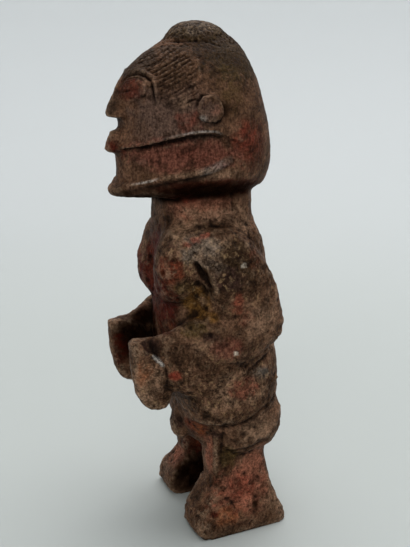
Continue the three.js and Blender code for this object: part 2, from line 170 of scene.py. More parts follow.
def makeStudio():
    flat, sweep, steps = studio["flat"], studio["sweep"], studio["sweepSteps"]
    profile = [(0, 0), (flat * 0.5, 0), (flat, 0)]
    for i in range(1, steps + 1):
        turn = math.radians(90 * i / steps)
        profile.append((flat + sweep * math.sin(turn), sweep * (1 - math.cos(turn))))
    profile.append((flat + sweep, studio["wall"]))
    shape = bmesh.new()
    points = [shape.verts.new((across * mm, 0, (up - studio["gap"]) * mm)) for across, up in profile]
    edges = [shape.edges.new(pair) for pair in zip(points, points[1:])]
    bmesh.ops.spin(
        shape, geom=points + edges, cent=(0, 0, 0), axis=(0, 0, 1), angle=2 * math.pi, steps=72,
        use_merge=True, use_duplicate=False,
    )
    bmesh.ops.remove_doubles(shape, verts=shape.verts, dist=0.1 * mm)
    bmesh.ops.recalc_face_normals(shape, faces=shape.faces)
    mesh = bpy.data.meshes.new("floor")
    shape.to_mesh(mesh)
    shape.free()
    mesh.shade_smooth()
    mesh.materials.append(mattPaper())
    floor = bpy.data.objects.new("floor", mesh)
    bpy.context.scene.collection.objects.link(floor)

    for name, (place, size, power, colour) in studio["lights"].items():
        data = bpy.data.lights.new(name, "AREA")
        data.shape = "DISK"
        data.size = size * mm
        data.energy = power
        data.color = linear(colour)[:3]
        light = bpy.data.objects.new(name, data)
        light.location = Vector(place) * mm
        aim = Vector(studio["aim"]) * mm - light.location
        light.rotation_euler = aim.to_track_quat("-Z", "Y").to_euler()
        light.visible_camera = False
        bpy.context.scene.collection.objects.link(light)

    world = bpy.data.worlds.new("soft fill")
    world.use_nodes = True
    background = world.node_tree.nodes["Background"]
    background.inputs["Color"].default_value = linear(studio["worldColour"])
    background.inputs["Strength"].default_value = studio["worldStrength"]
    bpy.context.scene.world = world
    bpy.context.scene.view_settings.view_transform = "Standard"


makeStudio()
print("studio built")

# The carving: the CAD solid's own form with an even fine skin, melted where the knife was soft and crisp
# where it was sharp, then cut, dented and worn by hand

carving = {
    "cell": 1.05,  # size of the skin's cells; the face and the cap get half of it
    "face": (3, (-46, 12), (191, 262)),  # where the face's cells lie: off the middle, forward, up
    "cap": 259,  # height where the cap's cells start
    "sole": (1.2, 1.0),  # height up to which the soles stay flat, while melting and while carving
    "crisp": (0.12, 0.3),  # how far an edge stands out of its surroundings before it is kept
    "evenRounds": 18,  # rounds that melt the facets of the limbs
    "wearRounds": 1,  # rounds that wear every edge
    "fillRounds": 80,  # rounds that fill a join without thinning what stands out
    "broad": (13.0, 0.45, 0.4),  # size and height of the broad tool marks, and how much less the head has
    "lumps": (4.6, 0.34, 0.5),
    "grit": (1.8, 0.16),
    "head": (186, 192),  # heights between which the body's marks give way to the head's
    "waver": 2.6,  # size of the unevenness along a cut
    "raggedUnder": 2.0,  # a cut narrower than this is ragged
    "ragged": (0.6, 0.2),  # unevenness of a narrow cut and of a wide one
    "triangles": 194000,  # the flattest cells merge until the finished piece has this many
}

# soft joins of the figure, as (centre, half sizes, strength); both sides get them
joins = [
    ((30, -9, 163), (15, 17, 9), 1.0),  # chest into shoulder
    ((23, -14, 171), (16, 20, 8), 1.0),  # chest into the neck
    ((31, -3, 131), (10, 9, 10), 1.0),  # upper arm into the forearm
    ((34, 31, 108), (9, 9, 12), 1.0),  # elbow into the waist
    ((34, 4, 124), (10, 18, 10), 0.35),  # elbow bend
    ((35, 4, 100), (9, 28, 13), 0.9),  # forearm into the hip
    ((37, 25, 106), (9, 14, 9), 1.0),
    ((20, -20, 86), (12, 8, 16), 0.9),
    ((18, -20, 76), (11, 10, 8), 1.0),  # hand into the wrap
    ((0, -26, 96), (34, 10, 20), 0.6),  # belly into the wrap
    ((28, 18, 172), (18, 20, 12), 0.7),  # back of the neck
    ((24, 10, 50), (20, 30, 10), 0.4),  # seat into the thigh
    ((0, 34, 90), (40, 16, 40), 0.8),
    ((0, 28, 150), (40, 16, 40), 0.8),
]

# flats cut with one stroke: a place on the flat, the way it faces, centre and half sizes of what it takes off
flats = [
    # top of the hand, down to the wrist
    ((24, -34.5, 110), (0.66, 0.37, 0.655), (22, -33, 109), (13, 10.5, 12)),
]

# dents and swellings, as (centre, half sizes, depth, share of it on the other side)
# a swelling's depth is negative
dents = [
    ((26, -7, 131), (8, 9, 12), 1.0, 1.0),  # flank behind the belly
    ((33, -6, 149), (4, 5, 7), 1.1, 1.0),  # armpit
    ((37, -5.5, 118.5), (6, 6, 3.2), 0.7, 0.6),
    ((38.5, 1, 101), (6, 9, 5), 0.8, 0.6),
    ((24, -21.5, 151.5), (8, 6.5, 7.5), -0.8, 0.9),  # nipple
    ((22.5, -23.8, 150.4), (2.6, 1.9, 1.9), 1.3, 0.8),  # the pit in it
    ((15, -30, 239.8), (7, 5.8, 5), -0.7, 1.0),  # eyelid
    ((9, -36, 236.6), (7, 4.4, 4), 0.7, 1.0),
    ((34.8, -1.4, 227.6), (3.6, 4.4, 4.6), -0.5, 1.0),  # ear
    ((26, -14, 208.5), (14, 28, 5.0), 1.0, 1.0),  # floor of the mouth band
    ((34.9, 23.8, 14.3), (3, 2.6, 2.6), 0.9, 0),  # hollows in the foot's side
    ((34.9, -1.3, 14), (3, 2.2, 2.0), 0.7, 0),
    ((31, 36.8, 86.7), (2.4, 2.2, 1.8), -1.2, 0),  # splinter
    ((8, -14, 67), (12, 8, 8), 1.4, 1.0),  # front of the wrap
    ((0, -16, 72), (13, 8, 8), 1.8, 0),
    ((20, -25, 76.5), (5, 6, 4.6), -1.1, 1.0),  # heel of the hand
    ((34, 27, 50), (9, 8, 6), 1.0, 1.0),  # back of the thigh
]

# lines cut or raised with the knife, drawn as seen from the side in (forward, up) places: places, width,
# depth, rim beside it, and its strength at even steps along it
mouthEdge = [(-39.2, 211.0), (-34.5, 212.6), (-29.5, 214.2), (-24.6, 215.5), (-18.5, 217.1), (-12, 218.4),
             (-5.3, 219.0), (0, 218.8), (4, 217.6)]
mouthShadow = [(-38.3, 209.6), (-30.2, 211.2), (-22.1, 213.7), (-13, 215.8), (-6.3, 216.5), (-1.6, 216.5),
               (3.4, 215.8)]
jawLedge = [(-39, 192.8), (-33.9, 194.0), (-25.6, 196.8), (-16.5, 199.0), (-7.5, 200.6), (-0.7, 202.9),
            (5, 205.4), (9, 208)]

headLines = [
    (mouthShadow, 2.6, 2.6, 0, (1.0, 1.0, 0.8, 0.6, 0.45, 0.2)),
    (mouthEdge, 1.5, -0.45, 0, (0.6, 0.9, 1.0, 1.0, 0.6)),
    (jawLedge, 2.6, -0.8, 0, (0.7, 0.9, 0.9, 1.0, 0.8, 0.2)),
    ([(y, z - 3.6) for y, z in jawLedge], 2.8, 0.9, 0, (0.6, 0.8, 1.0, 1.0, 0.5)),
    # the mouth band's rounded end
    ([(3.5, 217.2), (8.3, 215.4), (11.2, 212.3), (10.4, 208.6), (7.4, 206.4)],
     2.2, -0.4, 0, (0.3, 1, 1, 0.4)),
    # eye: rim, the cut inside it, an inner rim with its cut, and the slit under the brow
    ([(-36, 245.4), (-32.6, 246.9), (-30.7, 247.4), (-28, 246.5), (-25.7, 244.2), (-25.2, 241.6),
      (-25.3, 238), (-24.6, 232)], 1.9, -0.9, 0, (0.4, 1.0, 1.0, 1.0, 0.8, 0.4)),
    ([(-35, 243.6), (-32.8, 245.1), (-30.7, 245.6), (-28.2, 244.7), (-26.9, 242.9), (-26.6, 240.5),
      (-26.4, 237), (-25.8, 231.5)], 1.3, 1.3, 0, (0.6, 1.0, 1.0, 1.0, 0.7, 0.3)),
    ([(-37.4, 241.2), (-35, 243.0), (-32.3, 244), (-31.1, 243.8), (-29.3, 242.4), (-28.8, 240.6),
      (-28.7, 237.9)], 0.9, 0.5, 0, (0.3, 0.8, 0.7, 0.9, 0.5)),
    ([(-39.5, 236.6), (-36.5, 237.6), (-33.5, 238.4), (-31.4, 238)], 1.5, 0.6, 0, (0.7, 1.0, 0.6, 0.2)),
    ([(-30.4, 241.5), (-29.8, 239.5), (-29.8, 236.5)], 0.9, -0.4, 0, (0.4, 1.0, 0.6)),
    ([(-35, 234.6), (-32.4, 234.4), (-30.0, 235.4), (-28.6, 237.6)], 1.3, 0.6, 0.1, (0.6, 1.0, 0.6)),
    # hairline in front of the ear
    ([(-4.8, 254), (-5.2, 250.6), (-5.5, 246), (-5.7, 241.5), (-5.5, 237.4)],
     1.2, -0.55, 0, (0.5, 1.0, 0.9, 0.6, 0.3)),
    ([(-3.5, 253), (-3.8, 250), (-4.0, 246), (-4.0, 242)], 0.9, 0.5, 0, (0.4, 1.0, 0.8, 0.3)),
    # round the ear
    ([(-8.6, 233.6), (-9.6, 230.6), (-8.9, 227.2), (-7.0, 224.4), (-4.1, 223.0), (-0.8, 222.8),
      (2.3, 224.0), (4.6, 227.2), (4.8, 230), (3.2, 233.2), (0.4, 235.4), (-3, 236.8), (-6.4, 236.2),
      (-8.6, 233.6)],
     1.7, 1.3, 0, (1.0, 0.3, 0.0, 0.3, 0.9, 1.0, 0.9, 1.1, 0.4, 0.2, 0.9, 1.2)),
    # lower edge of the cap
    ([(-13.9, 260.4), (-11.6, 260.6), (-8.4, 260.4), (-4.8, 260.6), (-1, 260.4), (1.8, 260.6), (5.1, 259.4),
      (8.8, 258)], 1.2, 0.7, 0, (0.5, 1.0, 0.5, 1.0, 0.8, 1.0, 0.4)),
    # scratches behind the hair
    ([(10.8, 257.5), (9.2, 253.8), (7.9, 250.1)], 0.8, 0.3, 0.1, (0.6, 1, 0.5)),
]

bodyLines = [
    # armpit and the fold of the arm beside it
    ([(-11.0, 156.6), (-9.2, 154.2), (-7.4, 151.6), (-5.8, 148.8), (-4.4, 145.6), (-3.4, 141.5),
      (-3.0, 137), (-3.4, 133)], 2.3, 1.9, 0.2, (0.1, 1.0, 1.1, 1.1, 0.9, 0.5, 0.2, 0.0)),
    ([(-6.4, 155), (-4.6, 151.8), (-3.2, 148.6), (-1.8, 144), (-0.6, 138)],
     2.8, -0.8, 0, (0.3, 1.0, 1.0, 0.7, 0.2)),
    # neck crack, its dash and the pits at the neck's foot
    ([(12.1, 188.2), (12.7, 184.6), (12.9, 181.8), (13.1, 178.6)], 1.4, 1.3, 0.15, (1.0, 0.8, 1.0, 0.3)),
    ([(-7.2, 180.4), (-5.6, 181.2)], 1.0, 0.5, 0, (1.0, 1.0)),
    ([(-9.5, 171.8), (-6.7, 172.6), (-2.4, 172.7), (1.4, 172.2), (4.3, 172.2), (8, 171.6)],
     2.2, 0.5, 0, (0.4, 0.9, 0.1, 0.8, 1.0, 0.4)),
    # wrist
    ([(-25.4, 101.0), (-24.9, 96.6), (-24.0, 89.4), (-23.6, 83.6)], 1.8, 0.9, 0.2, (0.9, 1.0, 0.5, 0.3)),
    # fold across the hip
    ([(34.3, 110.9), (31.1, 104.4), (23.1, 101.2), (17.1, 98), (12.1, 94.3)],
     1.8, -0.9, 0, (0.8, 1.0, 1.0, 0.7, 0.2)),
    ([(33.0, 107.4), (29.8, 102), (22.6, 98.6), (17, 95.2)], 2.2, 0.8, 0, (0.6, 1.0, 0.8, 0.2)),
    # hem of the wrap
    ([(36.5, 75.4), (30.1, 74.0), (25.6, 72.4), (21.9, 70.3), (17.4, 67.2), (12.6, 65.5), (7.2, 63.4),
      (2.5, 61.8)], 1.5, 1.0, 0.35, (1.0, 1.0, 0.9, 0.8, 0.6, 0.2)),
    # under the seat
    ([(3.9, 46), (7.6, 47.4), (11.9, 48.8), (15.3, 49.4), (18.8, 49.4), (22.7, 50.3), (27, 51.6)],
     2.2, 0.8, 0, (0.2, 0.5, 0.8, 1.0, 0.9, 0.4)),
    # corner of the shin and the crease behind it
    ([(3.1, 57), (3.0, 50), (3.0, 43), (2.8, 36)], 2.6, -1.1, 0, (0.7, 1.0, 1.0, 0.4)),
    ([(5.6, 58), (5.5, 50), (5.5, 43), (5.2, 38)], 1.9, 0.9, 0, (0.7, 1.0, 1.0, 0.5)),
    # cracks in the foot
    ([(27, 30.5), (24, 26.2), (22.6, 21.4)], 0.9, 0.35, 0, (0.4, 1.0, 0.3)),
]

hatch = {
    "count": 17,
    "slope": 0.52,  # rise of the strokes for each millimetre back
    "from": 25.0,  # the strokes' heights are told at this distance forward
    "lowest": 226.5,
    "highest": 255.5,
    "width": (0.8, 1.3),
    "depth": (0.45, 1.0),
    "wander": 0.45,
    "pieces": (3.0, 8.0),  # length of a stroke before the knife lifts
    "gap": (-0.2, 0.8),  # how far on it comes down again
    "span": (-31.0, -5.0),  # the strokes run between these distances forward
    "bends": 5,  # points of a piece
    "rim": 0.1,  # height of the burr beside a stroke
    "strengths": (0.6, 1, 0.6),  # how deep a stroke goes at its start, middle and end
    # the patch of hair on the temple, as (up, forward limit, back limit)
    "field": [(228, -20.5, -12), (232, -23.5, -9.5), (236, -24.6, -7.2), (240, -25.2, -6.6),
              (244, -26.2, -6.4), (248, -28.4, -6.4), (252, -29.0, -7.2), (256, -23, -9.4), (259, -18, -14)],
}

notch = {
    "count": 150,
    "heights": (229, 257),
    "inset": (0.6, 0.4),  # how far inside the patch of hair they stay, in front and behind
    "lean": 0.7,
    "half": (0.3, 0.8),  # half their length
    "width": (0.7, 1.1),
    "depth": (0.2, 0.6),
}


class Skin:
    # the mesh's points, normals and edges as arrays, in millimetres

    def __init__(self, mesh):
        self.mesh = mesh
        count = len(mesh.vertices)
        flat = np.empty(count * 3)
        mesh.vertices.foreach_get("co", flat)
        self.co = flat.reshape(-1, 3) / mm
        ends = np.empty(len(mesh.edges) * 2, int)
        mesh.edges.foreach_get("vertices", ends)
        self.ends = ends.reshape(-1, 2)
        self.valence = np.bincount(self.ends.ravel(), minlength=count)
        self.refresh()

    def refresh(self):
        self.mesh.vertices.foreach_set("co", (self.co * mm).ravel())
        self.mesh.update()
        flat = np.empty(len(self.co) * 3)
        self.mesh.vertex_normals.foreach_get("vector", flat)
        self.normal = flat.reshape(-1, 3)

    def tree(self):
        corners = [tuple(face.vertices) for face in self.mesh.polygons]
        return BVHTree.FromPolygons([Vector(place) for place in self.co], corners)

    def mean(self, values, rounds=1):
        # each point's neighbours' mean
        a, b = self.ends.T
        count = len(self.co)
        for _ in range(rounds):
            columns = values.reshape(count, -1)
            total = [np.bincount(a, c[b], count) + np.bincount(b, c[a], count) for c in columns.T]
            values = (np.stack(total, 1) / self.valence[:, None]).reshape(values.shape)
        return values

    def even(self, rounds, weight):
        for _ in range(rounds):
            self.co += 0.5 * weight[:, None] * (self.mean(self.co) - self.co)
        self.refresh()

    def fill(self, rounds, weight):
        # only moves outwards, so a crease fills and what stands out keeps its size
        for i in range(rounds):
            if i % 10 == 0:
                self.refresh()
            step = self.mean(self.co) - self.co
            out = (step * self.normal).sum(1)
            self.co += 0.5 * (weight * (out > 0))[:, None] * step
        self.refresh()

    def push(self, height):
        self.co += self.normal * height[:, None]

    def near(self, path, reach):
        # the points within reach of a path of places: which, how far off, and how far along it they are
        path = np.array(path, float)
        low, high = path.min(0) - reach, path.max(0) + reach
        picked = np.nonzero(((self.co > low) & (self.co < high)).all(1))[0]
        away = np.full(len(picked), 1e9)
        along = np.zeros(len(picked))
        for i, (start, end) in enumerate(zip(path, path[1:])):
            span = end - start
            share = np.clip((self.co[picked] - start) @ span / max(span @ span, 1e-9), 0, 1)
            gap = np.linalg.norm(self.co[picked] - start - share[:, None] * span, axis=1)
            nearer = gap < away
            away[nearer] = gap[nearer]
            along[nearer] = (i + share[nearer]) / (len(path) - 1)
        close = away < reach
        return picked[close], away[close], along[close]


def mirrored(place):
    return (-place[0], place[1], place[2])


def patch(co, centre, halves):
    # 1 in the middle of a soft egg-shaped patch, 0 at its edge
    away = np.linalg.norm((co - np.array(centre)) / np.array(halves), axis=1)
    return fade(1 - away, 0, 0.8)


def noiseAt(co, size, seed=0, octaves=1):
    # noise at each point; with more octaves it is broken into ever finer noise
    shift = Vector([seed * apart for apart in (31.7, 12.3, 7.9)])
    if octaves == 1:
        return np.array([noise.noise(Vector(p) / size + shift) for p in co])
    smoothness, finer = 0.8, 2.1
    return np.array([noise.fractal(Vector(p) / size + shift, smoothness, finer, octaves) for p in co])


def onSurface(tree, side, knots, step=1.2):
    # (forward, up) places seen from one side, laid on the figure at even steps
    outside = 200 * side
    path = []
    for start, end in zip(knots, knots[1:]):
        start, end = Vector(start), Vector(end)
        count = max(1, round((end - start).length / step))
        path += [start.lerp(end, i / count) for i in range(count)]
    path.append(Vector(knots[-1]))
    hits = [tree.ray_cast(Vector((outside, p[0], p[1])), Vector((-side, 0, 0)))[0] for p in path]
    return [tuple(hit) for hit in hits if hit is not None]


def settle(piece):
    # makes the piece's modifiers part of its mesh
    graph = bpy.context.evaluated_depsgraph_get()
    before = piece.data
    name = before.name
    after = bpy.data.meshes.new_from_object(
        piece.evaluated_get(graph), preserve_all_data_layers=True, depsgraph=graph)
    piece.modifiers.clear()
    piece.data = after
    bpy.data.meshes.remove(before)
    after.name = name


def copyOfNode(name, node):
    # the node's loose triangles, merged into one closed skin with even cells
    shape = bmesh.new()
    shape.from_mesh(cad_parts[node].data)
    bmesh.ops.remove_doubles(shape, verts=shape.verts, dist=0.001 * mm)
    mesh = bpy.data.meshes.new(name)
    shape.to_mesh(mesh)
    shape.free()
    piece = bpy.data.objects.new(name, mesh)
    bpy.context.scene.collection.objects.link(piece)
    remesh = piece.modifiers.new("even cells", "REMESH")
    remesh.mode = "VOXEL"
    remesh.voxel_size = carving["cell"] * mm
    remesh.adaptivity = 0
    settle(piece)
    return piece


def triangles(mesh):
    return sum(len(face.vertices) - 2 for face in mesh.polygons)


def thin(piece):
    # merges the flattest cells and keeps the piece inside the solid's box
    fewer = piece.modifiers.new("fewer cells", "DECIMATE")
    fewer.ratio = carving["triangles"] / triangles(piece.data)
    settle(piece)
    skin = Skin(piece.data)
    skin.co = np.clip(skin.co, boxLow, boxHigh)
    skin.refresh()


def wantsFineCells(place):
    x, y, z = place
    apart, forward, up = carving["face"]
    onFace = up[0] < z < up[1] and forward[0] < y < forward[1] and abs(x) > apart
    return onFace or z > carving["cap"]


def refine(mesh):
    # halves the cells of the face and the cap
    shape = bmesh.new()
    shape.from_mesh(mesh)
    edges = {e for f in shape.faces if wantsFineCells(f.calc_center_median() / mm) for e in f.edges}
    bmesh.ops.subdivide_edges(shape, edges=sorted(edges, key=lambda e: e.index), cuts=1, use_grid_fill=True)
    bmesh.ops.triangulate(shape, faces=[f for f in shape.faces if len(f.verts) > 4])
    shape.to_mesh(mesh)
    shape.free()


def carve(skin, path, width, depth, rim, strengths, groove):
    # a line with sloping sides, cut (or raised, where its depth is negative) and noted in the groove array
    if len(path) < 2:
        return
    picked, away, along = skin.near(path, width * 2)
    strength = np.interp(along, np.linspace(0, 1, len(strengths)), strengths)
    fine, wide = carving["ragged"]
    ragged = fine if width < carving["raggedUnder"] else wide
    strength = strength * (0.9 + ragged * noiseAt(skin.co[picked], carving["waver"]))
    cut = np.exp(-((away / (width * 0.5)) ** 2)) * strength
    ridge = np.exp(-(((away - width * 0.95) / (width * 0.4)) ** 2)) * strength
    skin.co[picked] += skin.normal[picked] * (rim * ridge - depth * cut)[:, None]
    groove[picked] = np.maximum(groove[picked], cut * np.clip(depth / 0.8, 0, 1))


def hatchStrokes():
    # the hair's slanting strokes on one temple, each in a few pieces that don't quite meet
    ups, fronts, backs = zip(*hatch["field"])
    first, last = hatch["span"]
    strokes = []
    for i in range(hatch["count"]):
        height = hatch["lowest"] + (hatch["highest"] - hatch["lowest"]) * i / (hatch["count"] - 1)
        forward = first
        while forward < last:
            length = random.uniform(*hatch["pieces"])
            shift = random.uniform(-1, 1) * hatch["wander"]
            bend = random.uniform(-1, 1) * hatch["wander"]
            run = []
            for step in range(hatch["bends"]):
                share = step / (hatch["bends"] - 1)
                y = forward + length * share
                z = height + hatch["slope"] * (y + hatch["from"]) + shift + bend * math.sin(math.pi * share)
                if ups[0] < z < ups[-1] and np.interp(z, ups, fronts) < y < np.interp(z, ups, backs):
                    run.append((y, z))
            if len(run) > 1:
                strokes.append((run, random.uniform(*hatch["width"]), random.uniform(*hatch["depth"])))
            forward += length + random.uniform(*hatch["gap"])
    return strokes


def notchStrokes():
    # short cuts across the ridges between the strokes
    ups, fronts, backs = zip(*hatch["field"])
    front, back = notch["inset"]
    notches = []
    for _ in range(notch["count"]):
        z = random.uniform(*notch["heights"])
        y = random.uniform(np.interp(z, ups, fronts) + front, np.interp(z, ups, backs) - back)
        lean = random.uniform(-notch["lean"], notch["lean"])
        half = random.uniform(*notch["half"])
        run = [(y, z + half), (y + lean, z - half)]
        notches.append((run, random.uniform(*notch["width"]), random.uniform(*notch["depth"])))
    return notches


def pitField(skin, picked, count, sizes, depths, groove):
    # round pits at random points of the skin
    tree = kdtree.KDTree(len(picked))
    for slot, index in enumerate(picked):
        tree.insert(skin.co[index], slot)
    tree.balance()
    for _ in range(count):
        centre = skin.co[picked[random.randrange(len(picked))]]
        size = random.uniform(*sizes)
        depth = random.uniform(*depths)
        for _, slot, away in tree.find_range(centre, size):
            index = picked[slot]
            share = (1 - (away / size) ** 2) ** 2
            skin.co[index] -= skin.normal[index] * depth * share
            groove[index] = max(groove[index], share * min(1, depth / 0.6))


# where pits lie: (lowest, highest, count, sizes, depths)
pits = [
    (258, 272, 420, (0.6, 1.4), (0.15, 0.6)),
    (190, 258, 380, (0.6, 1.2), (0.1, 0.35)),
    (3, 176, 2200, (0.9, 2.3), (0.12, 0.6)),
]


def makeCarving():
    piece = copyOfNode("carved_wood", "carved_figure")
    skin = Skin(piece.data)
    print("even skin of", len(skin.co), "points")

    flatWhileMelting, flatWhileCarving = carving["sole"]
    onFloor = skin.co[:, 2] < flatWhileMelting
    joined = np.zeros(len(skin.co))
    for centre, halves, strength in joins:
        for place in (centre, mirrored(centre)):
            joined = np.maximum(joined, strength * patch(skin.co, place, halves))
    standing = np.linalg.norm(skin.mean(skin.co, 3) - skin.co, axis=1)
    crisp = fade(standing, *carving["crisp"]) * (1 - joined)
    crisp = np.maximum(crisp, 0.9 * skin.mean(crisp))
    skin.even(carving["evenRounds"], (1 - crisp) * (1 - onFloor))
    skin.fill(carving["fillRounds"], joined * (1 - onFloor))
    skin.even(carving["wearRounds"], 1.0 - onFloor)
    print("facets melted, joins filled")

    refine(piece.data)
    skin = Skin(piece.data)
    offFloor = skin.co[:, 2] > flatWhileCarving
    skin.even(1, 0.6 * offFloor)
    print("fine cells, now", len(skin.co), "points")

    for place, way, centre, halves in flats:
        above = (skin.co - np.array(place)) @ np.array(way)
        taken = np.maximum(above, 0) * fade(patch(skin.co, centre, halves), 0, 0.3)
        skin.co -= taken[:, None] * np.array(way)
    onHead = fade(skin.co[:, 2], *carving["head"])
    size, height, calm = carving["broad"]
    lift = height * noiseAt(skin.co, size, 1) * (1 - calm * onHead)
    size, height, calm = carving["lumps"]
    lift += height * noiseAt(skin.co, size, 2, 3) * (1 - calm * onHead)
    for centre, halves, depth, other in dents:
        lift -= depth * patch(skin.co, centre, halves)
        if other:
            lift -= other * depth * patch(skin.co, mirrored(centre), halves)
    skin.push(lift * offFloor)
    skin.refresh()

    groove = np.zeros(len(skin.co))
    tree = skin.tree()
    for side in (1, -1):
        for knots, width, depth, rim, strengths in headLines + bodyLines:
            carve(skin, onSurface(tree, side, knots), width, depth, rim, strengths, groove)
        for knots, width, depth in hatchStrokes() + notchStrokes():
            path = onSurface(tree, side, knots)
            carve(skin, path, width, depth, hatch["rim"], hatch["strengths"], groove)
    skin.refresh()
    print("lines carved")

    for lowest, highest, count, sizes, depths in pits:
        zone = np.nonzero((skin.co[:, 2] > lowest) & (skin.co[:, 2] < highest))[0]
        pitField(skin, zone, count, sizes, depths, groove)
    skin.refresh()
    size, height = carving["grit"]
    skin.push(height * noiseAt(skin.co, size, 3, 2) * offFloor)
    skin.co = np.clip(skin.co, boxLow, boxHigh)
    skin.refresh()
    print("surface worn")
    paint(piece, skin, groove)
    print("painted,", triangles(piece.data), "triangles")
    thin(piece)
    piece.data.shade_smooth()
    print("thinned to", triangles(piece.data), "triangles")
    return piece


# Pigments and dirt as they lie on the wood

pigments = {
    "umber": "#4f3727",
    "brown": "#694b39",
    "hair": "#2b1e0f",
    "smoke": "#32251b",
    "mauve": "#5a453b",
    "tan": "#8a6b55",
    "grey": "#7c6b5d",
    "olive": "#47371c",
    "ochre": "#755024",
    "orange": "#854a2a",
    "red": "#853a2a",
    "pink": "#915a46",
    "darkRed": "#47150b",
    "violet": "#34221d",
    "blueGrey": "#5a5751",
    "wine": "#693f32",
    "rust": "#62301f",
    # near black, laid as painted shade where shade falls
    "paintedShade": "#0e0502",
    "pale": "#c9bcab",
}

# rubbed so smooth that crumbs and pits hardly show on them
smoothPigments = ("red", "rust", "pink", "wine", "darkRed")

# how the pigments lie
laying = {
    "clouds": (9.0, 4.0, 2.6),  # sizes of the clouds that break their edges
    "edge": (0.45, 0.7),  # how far the clouds break an edge, and how far in the colour is full
    # how far the clouds break the painted shade's edge, and how far in it is full
    "paintedShadeEdge": (0.22, 0.95),
    "smoothHides": (0.6, 0.35),  # share of the crumbs and of the pits that a smooth pigment hides
}

